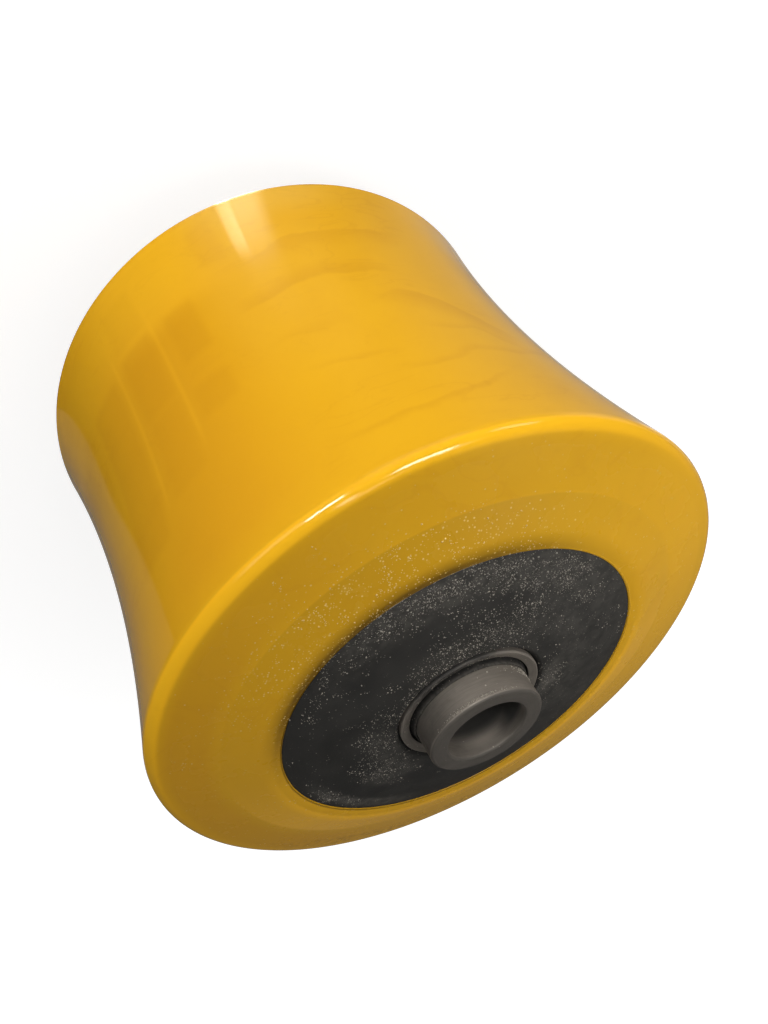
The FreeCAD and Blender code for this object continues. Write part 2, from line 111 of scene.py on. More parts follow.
class RollerColours(bpy.types.PropertyGroup):
    """Colours of the roller's finishes."""

    tread: colour("Tread", "Cast polyurethane on the tread", (0.79, 0.415, 0.014))
    # Painted shade: a darker copy of the tread's colour, laid towards the tread's left edge where less light
    # falls
    painted_shade: colour("Deep tread", "Where the tread's colour is a little deeper", (0.675, 0.300, 0.012))
    # Painted light: a lighter copy of the tread's colour, laid in patches and lines where more light falls
    painted_light: colour("Lit lines", "Faint lighter lines in the tread's colour", (0.95, 0.50, 0.022))
    # Painted light: an emission colour that makes the rim's rounded corner shine on the side towards the
    # lamps
    painted_glow: colour("Corner glow", "Light that comes through the tyre's thin corner", (0.18, 0.100, 0.002))
    end_face: colour("End face", "Cast polyurethane on the end faces", (0.74, 0.395, 0.013))
    # This darker colour marks where the casting met itself, and also serves as painted shadow for the tread's
    # window-frame panes and as painted shade on the outer cone
    pour_and_shade: colour("Pour marks", "Where one pour of polyurethane met the next", (0.60, 0.272, 0.010))
    # Painted shade: a darker colour for the inner band on the side that its steeper tilt turns from the light
    painted_band_shade: colour("Haze", "Dull film on the band inside the cone", (0.50, 0.27, 0.010))
    # Real scuffs take this dark colour, and it is also painted shade where the lip rolls over the hub
    grime_and_shading: colour("Grime", "Dirt in the corner between lip and hub", (0.14, 0.072, 0.004))
    pale_grain: colour("Pale grains", "Grains that lie on the tyre", (0.78, 0.56, 0.17))
    hub: colour("Hub", "Moulded plastic", (0.0185, 0.0180, 0.0168))
    # Painted shade: near-black laid in the gap round the seal, where shade falls
    shadow: colour("Gap", "Dirt in the gap round the seal", (0.004, 0.004, 0.004))
    dust: colour("Dust", "Dry dust on the end face", (0.235, 0.215, 0.185))
    sand: colour("Sand", "Grey grains", (0.38, 0.345, 0.285))
    sleeve: colour("Sleeve", "Turned steel", (0.170, 0.150, 0.127))
    seal: colour("Seal case", "Pressed steel", (0.200, 0.177, 0.150))
    rubber: colour("Rubber", "Seal lip", (0.022, 0.021, 0.020))
    bearing: colour("Bearing steel", "Cups, needles and rings", (0.50, 0.50, 0.49))
    cage: colour("Cage steel", "Needle cages", (0.36, 0.35, 0.34))
    bronze: colour("Bronze", "Thrust washers", (0.56, 0.34, 0.13))


class RollerStage(bpy.types.PropertyGroup):
    """Light, floor and sand."""

    sky_fill: share("Sky fill", "Level of the even light from all round", 0.34, max=4.0)
    low_lamp: watts("Low lamp", "Watts of the broad lamp beside the tread", 2.2)
    high_lamp: watts("High lamp", "Watts of the lamp over the end face", 0.22)
    strip_lamp: watts("Strip lamps", "Watts of each slim lamp that the rim shows", 4.0)
    floor_grey: share("Floor grey", "Light that the floor gives back", 0.40)
    grains: number("Grains", "Number of sand grains", 7300, min=0)


# Nodes


class Wiring:
    """Adds nodes to one tree. The lengths that noise, patch, specks and relief take are in millimetres."""

    def __init__(self, tree):
        self.tree = tree

    @cached_property
    def at(self):
        """Each point's place, in metres."""
        return self.add("ShaderNodeTexCoord").outputs["Object"]

    @cached_property
    def place(self):
        """Each point's Radius, Height and Angle."""
        return self.group("Place on the roller", {"Position": self.at})

    def plug(self, socket, value):
        """Links a value that is another node's output, and sets any other, a colour with full alpha."""
        if isinstance(value, bpy.types.NodeSocket):
            self.tree.links.new(value, socket)
        else:
            socket.default_value = (*value[:3], 1.0) if socket.type == "RGBA" else value

    def add(self, kind, values=(), **settings):
        """A new node with its settings, and values by the name or number of their socket."""
        node = self.tree.nodes.new(kind)
        for name, value in settings.items():
            setattr(node, name, value)
        for key, value in dict(values).items():
            self.plug(node.inputs[key], value)
        return node

    def group(self, name, values):
        """The outputs of a shared effect."""
        return self.add("ShaderNodeGroup", values, node_tree=bpy.data.node_groups[name]).outputs

    def join(self, inputs, **values):
        """Plugs a surface's or a group's own sockets. A name's spaces are written as underscores."""
        for key, value in values.items():
            self.plug(inputs[key.replace("_", " ")], value)

    def math(self, operation, first, second=0.0, clamp=False):
        values = {0: first, 1: second}
        return self.add("ShaderNodeMath", values, operation=operation, use_clamp=clamp).outputs[0]

    def plus(self, first, second, clamp=False):
        return self.math("ADD", first, second, clamp)

    def minus(self, first, second, clamp=False):
        return self.math("SUBTRACT", first, second, clamp)

    def times(self, first, *others):
        for other in others:
            first = self.math("MULTIPLY", first, other)
        return first

    def fade(self, value, low, high, start=0.0, end=1.0):
        """Goes smoothly from start at low to end at high."""
        values = {"Value": value, "From Min": low, "From Max": high, "To Min": start, "To Max": end}
        return self.add("ShaderNodeMapRange", values, interpolation_type="SMOOTHSTEP").outputs[0]

    def mix(self, factor, first, second, kind="MIX"):
        values = {0: factor, 6: first, 7: second}
        return self.add("ShaderNodeMix", values, data_type="RGBA", blend_type=kind).outputs[2]

    def coat(self, base, tone, *masks):
        """Lays a colour over base, as far as the product of the masks says."""
        return self.mix(self.times(*masks), base, tone)

    def noise(self, size, detail=2.0, distortion=0.0, position=None):
        """Soft noise from 0 to 1 whose patches are about size across."""
        values = {"Vector": self.at if position is None else position, "Scale": 1 / (size * MM),
                  "Detail": detail, "Distortion": distortion}
        return self.add("ShaderNodeTexNoise", values).outputs[0]

    def patch(self, value, low, high, edge, direction, spread, fade):
        """A soft-edged patch, from low to high along value and spread degrees to both sides of direction."""
        values = {"Value": value, "Low": low * MM, "High": high * MM, "Edge": edge * MM,
                  "Angle": self.place["Angle"], "Direction": direction, "Spread": spread, "Fade": fade}
        return self.group("Patch", values)[0]

    def specks(self, cell, amount, size):
        """The Mask of dust specks, and the Tone of each."""
        values = {"Position": self.at, "Cell": cell * MM, "Amount": amount, "Size": size}
        return self.group("Dust specks", values)

    def relief(self, *layers):
        """Bumps stacked one on the next: each layer is (height from 0 to 1, its depth)."""
        below = {}
        for height, depth in layers:
            values = {"Height": height, "Distance": depth * MM, "Strength": 1.0, **below}
            below = {"Normal": self.add("ShaderNodeBump", values).outputs[0]}
        return below["Normal"]


def new_surface(name):
    """A material with a Principled surface, and what adds nodes to it."""
    material = bpy.data.materials.new(name)
    material.use_nodes = True
    return material, Wiring(material.node_tree), material.node_tree.nodes["Principled BSDF"].inputs


def new_group(name, inputs, outputs):
    """An empty group. An input is a number with its default, or a vector where that is None."""
    tree = bpy.data.node_groups.new(name, "ShaderNodeTree")
    for label, default in inputs.items():
        kind = "NodeSocketVector" if default is None else "NodeSocketFloat"
        socket = tree.interface.new_socket(label, in_out="INPUT", socket_type=kind)
        if default is not None:
            socket.default_value = default
    for label in outputs:
        tree.interface.new_socket(label, in_out="OUTPUT", socket_type="NodeSocketFloat")
    return Wiring(tree), tree.nodes.new("NodeGroupInput").outputs, tree.nodes.new("NodeGroupOutput").inputs


def place_group():
    """Radius from the axis, height from the middle and angle round the axis in degrees, from 0 to 360."""
    w, given, out = new_group("Place on the roller", {"Position": None}, ("Radius", "Height", "Angle"))
    x, y, z = w.add("ShaderNodeSeparateXYZ", {0: given["Position"]}).outputs
    flat = w.add("ShaderNodeCombineXYZ", {0: x, 1: y}).outputs[0]
    radius = w.add("ShaderNodeVectorMath", {0: flat}, operation="LENGTH").outputs["Value"]
    turn = w.times(w.math("ARCTAN2", y, x), 180 / math.pi)
    w.join(out, Radius=radius, Height=w.minus(z, MIDDLE), Angle=w.math("FLOORED_MODULO", turn, 360.0))


def patch_group():
    """A soft-edged mask: 1 from Low to High along Value, within Spread degrees of Direction on both sides."""
    w, given, out = new_group("Patch", {"Value": 0.0, "Low": 0.0, "High": 1.0, "Edge": 0.001, "Angle": 0.0,
                                        "Direction": 0.0, "Spread": 180.0, "Fade": 10.0}, ("Mask",))

    def step(value, middle, reach, start, end):
        middle, reach = given[middle], given[reach]
        return w.fade(value, w.minus(middle, reach), w.plus(middle, reach), start, end)

    turned_by = w.plus(w.minus(given["Angle"], given["Direction"]), 180.0)
    away = w.math("ABSOLUTE", w.minus(w.math("FLOORED_MODULO", turned_by, 360.0), 180.0))
    rise, fall = step(given["Value"], "Low", "Edge", 0.0, 1.0), step(given["Value"], "High", "Edge", 1.0, 0.0)
    w.join(out, Mask=w.times(rise, fall, step(away, "Spread", "Fade", 1.0, 0.0)))


def speck_group():
    """Round specks: Amount is the share of cells that hold one, and Size its share of the cell."""
    w, given, out = new_group("Dust specks", {"Position": None, "Cell": 0.001, "Amount": 0.3, "Size": 0.4},
                              ("Mask", "Tone"))
    cell = w.add("ShaderNodeTexVoronoi", {"Vector": given["Position"],
                                         "Scale": w.math("DIVIDE", 1.0, given["Cell"])}).outputs
    chance = w.add("ShaderNodeSeparateColor", {0: cell["Color"]}).outputs
    reach = w.times(given["Size"], w.plus(w.times(chance[1], 0.7), 0.3))
    spot = w.fade(cell["Distance"], w.times(reach, 0.6), reach, 1.0, 0.0)
    w.join(out, Mask=w.times(spot, w.math("LESS_THAN", chance[0], given["Amount"])), Tone=chance[2])


def pour_group():
    """Where one casting met the next: dark along Line, and fading over Before below it and After above it."""
    w, given, out = new_group("Pour line", {"Height": 0.0, "Line": 0.0, "Before": 0.002, "After": 0.01},
                              ("Mask",))
    off = w.minus(given["Height"], given["Line"])
    rise = w.fade(off, w.times(given["Before"], -1.0), 0.0)
    w.join(out, Mask=w.times(rise, w.fade(off, 0.0, given["After"], 1.0, 0.0)))


def turned_group():
    """Rings that a lathe leaves: noise that changes fast with radius and height, and slowly with angle."""
    w, given, out = new_group("Turned rings", {"Position": None, "Ring": 0.0004}, ("Tone", "Rings"))
    place = w.group("Place on the roller", {"Position": given["Position"]})
    slow = w.times(place["Angle"], 0.00002)
    rings = w.add("ShaderNodeCombineXYZ", {0: place["Radius"], 1: place["Height"], 2: slow}).outputs[0]
    values = {"Vector": rings, "Scale": w.math("DIVIDE", 1.0, given["Ring"]), "Detail": 3.0}
    w.join(out, Tone=w.noise(9, 3.0, 0.4, given["Position"]),
           Rings=w.add("ShaderNodeTexNoise", values).outputs[0])


# Finishes


BLACK, WHITE, PALE, WARM = (0.0, 0.0, 0.0), (1.0, 1.0, 1.0), (1.0, 0.98, 0.95), (1.0, 0.97, 0.66)
# A patch is low, high and edge in millimetres, and direction, spread and fade in degrees.
TREAD_PATCHES = (
    # a patch by height, its strength and colour
    # Painted shade: the tread darker towards its left edge, where less light falls
    (-46, 74, 14, 150, 16, 14, 0.58, "painted_shade"),
    # Painted light: lighter patches where more light falls on the tread
    (-90, 76, 4, 68, 14, 8, 0.70, "painted_light"),
    (-90, -36, 8, 146, 14, 10, 0.42, "painted_light"),
    (-90, -36, 8, 190, 8, 6, 0.55, "painted_light"),
    (-90, -64, 9, 112, 14, 10, 0.15, "pale_grain"),
    # Painted shadow: darker panes where a window frame's shadow falls on the tread
    (-40, -4.5, 2.8, 153.9, 4.6, 1.2, 0.26, "pour_and_shade"),
    (-38.5, -11.5, 2.8, 141.4, 3.6, 1.2, 0.26, "pour_and_shade"),
    (-37, 42.5, 2.8, 167.4, 5.4, 1.2, 0.24, "pour_and_shade"),
    (1.2, 16, 2.8, 142, 4.2, 1.2, 0.24, "pour_and_shade"),
    (-70.4, -47.4, 2.8, 129.3, 3, 1.2, 0.16, "pour_and_shade"),
    (-2.7, 33, 2.8, 153.7, 4.4, 1.2, 0.16, "pour_and_shade"),
    (-66, -43.2, 2.8, 153.7, 4.6, 1.2, 0.12, "pour_and_shade"),
    # Painted light: two lighter lines in the window-frame pattern of light and shadow on the tread
    (-48, 22, 8, 148.1, 0.45, 0.55, 0.18, "painted_light"),
    (-46, 30, 8, 160.4, 0.45, 0.55, 0.20, "painted_light"),
)
POUR_LINES = (
    # degrees and millimetres along each line, then how far it fades before and after, and its strength
    (((88, -44.2), (92, -44.6), (97.5, -45.1), (104.5, -44.3), (111.7, -45.5), (118, -42.9), (125, -38.5)),
     1.4, 13.0, 0.28),
    (((96, -15.0), (100.2, -17.9), (104.8, -18.5), (111, -19.9), (117, -19.3), (124, -16.8), (131, -16.1)),
     9.0, 1.8, 0.30),
    (((79, 23.0), (84, 17.0), (87, 11.8), (91.5, 4.2), (96, -1.5), (99.5, -3.4), (104, -1.0)),
     1.8, 17.0, 0.30),
    (((80, 32.0), (86, 27.5), (89.5, 22.0), (95.2, 21.6), (102.2, 18.5)), 5.0, 1.5, 0.16),
    (((93, 48.5), (97, 52.2), (104, 56.7), (112.3, 59.9), (116.3, 60.2), (121.4, 60.7), (128.5, 57.8)),
     1.6, 2.6, 0.22),
    (((71, 27.0), (80, 32.2), (87.2, 35.8), (95.8, 35.2), (102, 40.0), (107.2, 41.0), (113, 39.5)),
     4.0, 1.8, 0.18),
    (((108, 30.4), (112.5, 29.5), (116, 28.5), (121.8, 26.5), (126, 25.6)), 3.0, 1.8, 0.17),
    (((112, 9.0), (117, 7.5), (125, 6.0), (131, 6.0)), 4.5, 3.5, 0.12),
)
CURVE_START, CURVE_SPAN, CURVE_REACH = 70.0, 70.0, 80.0  # the curves' degrees, and their height up and down
FACE_PATCHES = (
    # a patch by radius, its strength and colour
    # Painted shade: the inner band darker on the near side, which its steeper tilt turns from the light
    (50, 77.3, 0.4, 122, 42, 34, 0.62, "painted_band_shade"),
    # Painted light: the inner band lighter on its far side
    (63.5, 77.3, 0.6, 298, 78, 24, 1.0, "painted_light"),
    # Painted shade: the outer cone darker on the side turned from the light
    (80, 97, 3, 214, 60, 25, 0.36, "pour_and_shade"),
    # Painted light: the outer cone lighter where the high lamp's light falls
    (77.5, 92, 2, 8, 52, 25, 0.24, "painted_light"),
)
HUB_DUST_AND_SHADE = (
    # a patch by radius, and its amount of dust
    (25, 36, 3, 108, 45, 25, 0.055), (25, 34, 2.5, 216, 20, 16, 0.17), (48, 61, 3, 108, 50, 30, 0.130),
    (52, 60, 2.5, 128, 24, 14, 0.080), (53, 58, 1.5, 248, 22, 10, 0.27), (28, 44, 3, 246, 12, 10, 0.15),
    (26, 33, 2, 14, 16, 9, 0.25), (34, 60, 4, 20, 60, 30, 0.075), (26, 42, 3, 30, 50, 20, 0.035),
    # The negative amount at angle 298 takes dust away to darken the hub there: painted shade beside the
    # sleeve
    (40, 50, 3, 96, 40, 22, 0.035), (23, 44, 4, 298, 34, 14, -0.030),
)
ALL = 1000.0  # millimetres, past every end of the roller


def shade(tone, factor):
    """The colour made lighter or darker."""
    return [min(1.0, x * factor) for x in tone]


def pour_curve(w, points):
    """The height of a pour line in metres, as a smooth curve through points of the angle."""
    along = w.math("DIVIDE", w.minus(w.place["Angle"], CURVE_START), CURVE_SPAN, True)
    node = w.add("ShaderNodeFloatCurve", {"Value": along})
    curve = node.mapping.curves[0]
    places = [((a - CURVE_START) / CURVE_SPAN, (h + CURVE_REACH) / (2 * CURVE_REACH)) for a, h in points]
    curve.points[0].location, curve.points[1].location = places[0], places[-1]
    for place in places[1:-1]:
        curve.points.new(*place)
    node.mapping.use_clip = False
    node.mapping.extend = "HORIZONTAL"
    node.mapping.update()
    return w.times(w.minus(w.times(node.outputs[0], 2 * CURVE_REACH), CURVE_REACH), MM)


def tread_marks_and_painted_light(w, c, base, far):
    """Lays the tread's soft patches over base, which but for one pale patch are painted light and painted
    shade, and then the lines where one casting met the next, which a little noise makes wander.
    """
    for *where, strength, tone in TREAD_PATCHES:
        base = w.coat(base, getattr(c, tone), w.patch(w.place["Height"], *where), strength)
    wobble = w.times(w.minus(w.noise(9, 3.0), 0.5), 5 * MM)
    for points, before, after, strength in POUR_LINES:
        line = w.plus(pour_curve(w, points), wobble)
        mark = w.group("Pour line", {"Height": w.place["Height"], "Line": line, "Before": before * MM,
                                     "After": after * MM})[0]
        start, end = points[0][0], points[-1][0]
        where = w.patch(far, -ALL, 76, 2, (start + end) / 2, (end - start) / 2 - 3.0, 5.0)
        base = w.coat(base, c.pour_and_shade, mark, where, strength)
    return base


def end_face_dirt_and_shading(w, c, base, on_face):
    """Lays painted shade and painted light, then the lip's painted shade, scuffs and dust over the tyre's end
    faces. Gives the colour and the specks' mask.
    """
    radius = w.place["Radius"]
    for *where, strength, tone in FACE_PATCHES:
        base = w.coat(base, getattr(c, tone), w.patch(radius, *where), on_face, strength)
    # Painted shade: the lip's roll-over darkened on the near side, where it turns from the light
    soft_part = w.times(w.fade(radius, 67.5 * MM, 63.0 * MM), 0.48)
    tight_part = w.times(w.fade(radius, 64.0 * MM, 61.8 * MM), 0.48)
    lip_side = w.plus(w.patch(radius, 40, 80, 1, 147, 48, 26), 0.03, True)
    uneven = w.fade(w.noise(4, 3.0), 0.2, 0.8, 0.85, 1.0)
    base = w.coat(base, c.grime_and_shading, w.plus(soft_part, tight_part), on_face, lip_side, uneven)
    scuffs = w.fade(w.noise(2.2, 5.0), 0.45, 0.62)
    base = w.coat(base, c.grime_and_shading, w.patch(radius, 86, 97.5, 2, 290, 40, 18), on_face, scuffs, 0.30)
    dusty = w.plus(w.times(w.patch(radius, 60.5, 77, 5, 138, 46, 24), 0.56),
                   w.times(w.patch(radius, 74, 84, 4, 160, 26, 12), 0.24))
    dusty = w.plus(w.times(dusty, w.fade(w.noise(7, 3.0), 0.35, 0.6, 0.35, 1.0)), 0.05)
    specks = w.specks(0.80, dusty, 0.46)
    speck = w.times(specks["Mask"], on_face, w.fade(specks["Tone"], 0.0, 1.0, 0.30, 0.90))
    return w.coat(base, c.pale_grain, speck), speck


def tyre_finish(c):
    """Glossy cast polyurethane: cloudy colour, a tread with painted light and shade, dirty end faces with
    painted shade, and painted light emitted from its rims.
    """
    material, w, inputs = new_surface("tyre cast polyurethane")
    radius, far = w.place["Radius"], w.math("ABSOLUTE", w.place["Height"])
    on_face = w.fade(far, 79.2 * MM, 80.4 * MM)
    base = w.mix(on_face, c.tread, c.end_face)
    clouds = w.noise(55, 3.0, 0.8)
    base = w.coat(base, c.pour_and_shade, w.fade(clouds, 0.35, 0.70, 0.0, 0.16))
    streaky = w.add("ShaderNodeMapping", {"Vector": w.at, "Scale": (1.0, 1.0, 2.6)}).outputs[0]
    swirl = w.noise(30, 3.0, 1.2, streaky)
    wisp = w.fade(w.math("ABSOLUTE", w.minus(swirl, 0.5)), 0.0, 0.03, 0.15, 0.0)
    base = w.coat(base, c.pour_and_shade, wisp, w.fade(clouds, 0.46, 0.60))
    base, speck = end_face_dirt_and_shading(w, c, tread_marks_and_painted_light(w, c, base, far), on_face)
    # Painted light: the rim's rounded corner emits an orange light on the side towards the lamps, most near
    # angle 151
    corner = w.times(w.fade(far, 76.1 * MM, 77.1 * MM), w.fade(radius, 93.6 * MM, 95.4 * MM))
    strongest = w.plus(w.times(w.patch(radius, 80, 120, 1, 151, 9, 8), 0.35), 0.92)
    painted_glow = w.times(corner, strongest, w.patch(radius, 80, 120, 1, 139, 60, 28))
    rough = w.plus(w.fade(w.noise(14, 4.0), 0.3, 0.7, 0.06, 0.10), w.times(on_face, 0.19))
    waves, orange_peel = w.noise(24, 1.0), w.noise(1.6)
    w.join(inputs, Base_Color=base, Roughness=w.plus(rough, w.times(speck, 0.5), True),
           Specular_IOR_Level=0.16, Emission_Color=w.mix(painted_glow, BLACK, c.painted_glow), Emission_Strength=1.0,
           Normal=w.relief((waves, 0.05), (orange_peel, 0.002)))
    return material


def hub_finish(c):
    """Dark moulded plastic under dry dust: a fine mould grain, a torn film in patches and specks, with
    painted shade round the mouth and beside the sleeve.
    """
    material, w, inputs = new_surface("hub moulded nylon")
    radius = w.place["Radius"]
    top = w.fade(w.math("ABSOLUTE", w.place["Height"]), 84 * MM, 86 * MM)
    broad = w.noise(12, 5.0, 0.5)
    torn = w.fade(w.noise(3.5, 4.0, 0.6), 0.35, 0.65, 0.35, 1.0)
    film = w.fade(broad, 0.30, 0.75, 0.015, 0.055)
    # Dust patches summed, where the one negative amount is painted shade
    for *where, amount in HUB_DUST_AND_SHADE:
        film = w.plus(film, w.times(w.patch(radius, *where), torn, amount))
    film = w.times(film, top)
    base = w.mix(w.fade(w.noise(40), 0.3, 0.7, 0.0, 0.35), c.hub, shade(c.hub, 1.5))
    base = w.coat(base, c.dust, film)
    # Painted shade: the hub darkened round its mouth, in the gap beside the seal
    base = w.coat(base, c.shadow, w.fade(radius, 24.9 * MM, 24.3 * MM), 0.85)
    fine = w.specks(0.60, w.plus(w.times(film, 2.2), 0.01), 0.38)
    speck = w.times(fine["Mask"], top, w.fade(fine["Tone"], 0.0, 1.0, 0.15, 0.6))
    rings = w.group("Turned rings", {"Position": w.at, "Ring": 1.4 * MM})["Rings"]
    w.join(inputs, Base_Color=w.coat(base, c.sand, speck), Specular_IOR_Level=0.16,
           Roughness=w.plus(w.fade(broad, 0.3, 0.7, 0.52, 0.66), speck, True),
           Normal=w.relief((rings, 0.02), (w.noise(0.7, 3.0), 0.03), (speck, 0.12)))
    return material


def grime_and_shading_masks(w, stain, direction, spread, fade, strength):
    """Where a sleeve or seal is painted darker: painted shade on one side outside and far down the bore, and
    a darker end face. And painted light where the bore is paler, near its end."""
    below_end = w.minus(SLEEVE_END - 0.8 * MM, w.math("ABSOLUTE", w.place["Height"]))
    in_bore = w.fade(w.place["Radius"], 13.6 * MM, 13.2 * MM)
    # Painted shade: the outside darkened on the side turned from the light
    outside = w.times(w.patch(below_end, 0, ALL, 0.5, direction, spread, fade),
                      w.fade(stain, 0.3, 0.6, 0.8, 1.0), strength, w.minus(1.0, in_bore))
    # Painted shade: the bore darker far down it, where shade falls
    painted_shade = w.math("MAXIMUM", w.fade(below_end, 4 * MM, 9 * MM), w.patch(below_end, 2.5, ALL, 1.5, 12, 34, 18))
    end_face = w.times(w.fade(below_end, 0.0, -0.5 * MM), 0.60)
    dark = w.math("MAXIMUM", w.plus(outside, w.times(painted_shade, in_bore, 0.94)), end_face)
    # Painted light: the bore paler a little below its end, on the side where light gets in
    return dark, w.times(w.patch(below_end, 2, 5.5, 2, 300, 22, 18), in_bore, 0.8)


def steel_finish(name, tone, ring, rough, stains, dust=0.0, shine=0.9, grime_and_shading=None):
    """Turned or pressed steel: rings of a width in millimetres, slow stains and a little dust. Shine is how
    bare the metal is under its film, and the last argument the direction, spread, fade and strength of
    painted shade outside."""
    material, w, inputs = new_surface(name)
    rings = w.group("Turned rings", {"Position": w.at, "Ring": ring * MM})
    base = w.mix(w.fade(rings["Rings"], 0.3, 0.7, 0.0, 0.5), shade(tone, 0.82), shade(tone, 1.18))
    stain = w.noise(4.5, 5.0, 0.8)
    base = w.coat(base, shade(tone, 0.5), w.fade(stain, 0.52, 0.75, 0.0, stains))
    speck = w.times(w.specks(0.8, 0.4 * dust, 0.36)["Mask"], 0.7)
    base = w.coat(base, shade(tone, 2.6), speck)
    roughness = w.fade(rings["Tone"], 0.3, 0.7, rough - 0.06, rough + 0.08)
    roughness = w.plus(roughness, w.times(w.fade(rings["Rings"], 0.3, 0.7), 0.06), True)
    metal = w.minus(shine, w.times(speck, shine), True)
    if grime_and_shading:
        dark, pale = grime_and_shading_masks(w, stain, *grime_and_shading)
        # Painted light in the bore, then painted shade, over the steel's colour
        base = w.coat(w.coat(base, shade(tone, 1.7), pale), shade(tone, 0.12), dark)
        metal = w.times(metal, w.minus(1.0, dark))
        roughness = w.plus(roughness, w.times(dark, 0.3), True)
    w.join(inputs, Base_Color=base, Metallic=metal, Roughness=roughness, Specular_IOR_Level=0.25,
           Normal=w.relief((rings["Rings"], 0.010), (w.noise(0.5, 3.0), 0.004)))
    return material


def rubber_finish(c):
    """Matt black seal rubber with grey dust caught on it, most of it on the lip's tip."""
    material, w, inputs = new_surface("seal rubber")
    cloudy = w.fade(w.noise(2.5, 4.0, 0.5), 0.35, 0.75, 0.0, 0.07)
    tip = w.times(w.fade(w.place["Radius"], 19.9 * MM, 19.5 * MM, 0.0, 0.22),
                  w.fade(w.noise(1.4, 4.0), 0.3, 0.6, 0.3, 1.0))
    base = w.mix(w.plus(cloudy, tip), c.rubber, c.dust)
    base = w.coat(base, c.sand, w.specks(0.5, 0.14, 0.4)["Mask"], 0.5)
    w.join(inputs, Base_Color=base, Roughness=w.fade(cloudy, 0.0, 0.07, 0.7, 0.85), Specular_IOR_Level=0.02,
           Normal=w.relief((w.noise(0.4, 3.0), 0.02)))
    return material


def sand_finish(c):
    """Dry grains, each with its own tone from the mesh's attribute, and yellower on the tyre."""
    material, w, inputs = new_surface("sand")
    tone = w.add("ShaderNodeAttribute", attribute_type="GEOMETRY", attribute_name="tone").outputs["Fac"]
    base = w.mix(tone, shade(c.sand, 0.40), shade(c.sand, 1.18))
    base = w.coat(base, c.dust, w.fade(w.noise(0.15), 0.35, 0.65, 0.0, 0.3))
    base = w.coat(base, c.pale_grain, w.fade(w.place["Radius"], 60 * MM, 61 * MM, 0.0, 0.85))
    w.join(inputs, Base_Color=base, Roughness=w.fade(tone, 0.0, 1.0, 0.75, 0.5), Specular_IOR_Level=0.3)
    return material


# Shapes


def rounded_outline(corners, step):
    """A closed outline in the (radius, height) plane through corners (radius, height, rounding). A rounding
    is the arc that touches both of its runs, in steps of about 10 degrees, and a run is divided evenly."""
    corners = np.array(corners, float)
    spot, rounding = corners[:, :2], corners[:, 2]
    back, ahead = np.roll(spot, 1, 0) - spot, np.roll(spot, -1, 0) - spot
    back /= np.linalg.norm(back, axis=1)[:, None]
    ahead /= np.linalg.norm(ahead, axis=1)[:, None]
    half = np.arccos(np.clip((back * ahead).sum(1), -1, 1)) / 2
    cut = rounding / np.tan(half)
    starts, ends = spot + back * cut[:, None], spot + ahead * cut[:, None]
    pieces = []
    for i in range(len(spot)):
        bend = spot[i:i + 1]
        if rounding[i] > 0:
            inwards = back[i] + ahead[i]
            centre = spot[i] + inwards / np.linalg.norm(inwards) * rounding[i] / np.sin(half[i])
            first, last = starts[i] - centre, ends[i] - centre
            begin = math.atan2(first[1], first[0])
            turn = (math.atan2(last[1], last[0]) - begin + math.pi) % (2 * math.pi) - math.pi
            t = begin + turn * np.linspace(0, 1, max(3, math.ceil(abs(turn) / math.radians(10))) + 1)
            bend = centre + rounding[i] * np.stack([np.cos(t), np.sin(t)], 1)
        nearest = starts[(i + 1) % len(spot)]
        count = max(1, math.ceil(np.linalg.norm(nearest - bend[-1]) / step))
        run = bend[-1] + (nearest - bend[-1]) * (np.arange(1, count) / count)[:, None]
        pieces += [bend, run]
    return np.concatenate(pieces)


def mirrored(upper):
    """A whole outline from its upper half, which runs from the middle outside to the middle inside."""
    return upper + [(r, -h, rounding) for r, h, rounding in reversed(upper) if h > 0]


def arc(radius, height, reach, start, end):
    """Nine corners on the circle with its centre at (radius, height), evenly from start to end in degrees."""
    t = np.radians(np.linspace(start, end, 9))
    return [(radius + reach * x, height + reach * y, 0.0) for x, y in zip(np.cos(t), np.sin(t))]


def new_mesh(name, places, faces, material):
    """Puts whole arrays of corner places and faces into a smooth mesh and links its object at the origin."""
    mesh = bpy.data.meshes.new(name)
    mesh.from_pydata(places, [], faces, shade_flat=False)
    mesh.materials.append(material)
    mesh.validate()
    piece = bpy.data.objects.new(name, mesh)
    bpy.context.scene.collection.objects.link(piece)
    return piece


def turned(name, outline, side, around, material):
    """Turns a closed outline (r, h) about the axis, for even angles t: x is r cos t, y is r sin t, and z is
    the middle plus side times h."""
    outline = outline[::side]
    t = np.arange(around) * (2 * np.pi / around)
    r, h = outline[:, :1], side * outline[:, 1:]
    places = np.stack([r * np.cos(t), r * np.sin(t), np.broadcast_to(MIDDLE + h, (len(r), around))], -1)
    i, j = np.meshgrid(np.arange(len(r)), np.arange(around), indexing="ij")
    i_next, j_next = (i + 1) % len(r), (j + 1) % around
    faces = np.stack([i * around + j, i * around + j_next, i_next * around + j_next, i_next * around + j], -1)
    return new_mesh(name, places.reshape(-1, 3), faces.reshape(-1, 4), material)


TREAD_POINTS = 34
SLEEVE_STEP, SEAL_STEP = 0.8 * MM, 0.5 * MM
LIP_ARC = (63.235 * MM, 74.53 * MM, 12.45 * MM, 74.5, 104.0)  # centre, reach, first and last degree
MID_WALL = 40 * MM  # height of a corner on the straight walls of bond and bore
GROOVE_LOW, GROOVE_HIGH, GROOVE_DEPTH = 55.85 * MM, 57.45 * MM, 1.1 * MM


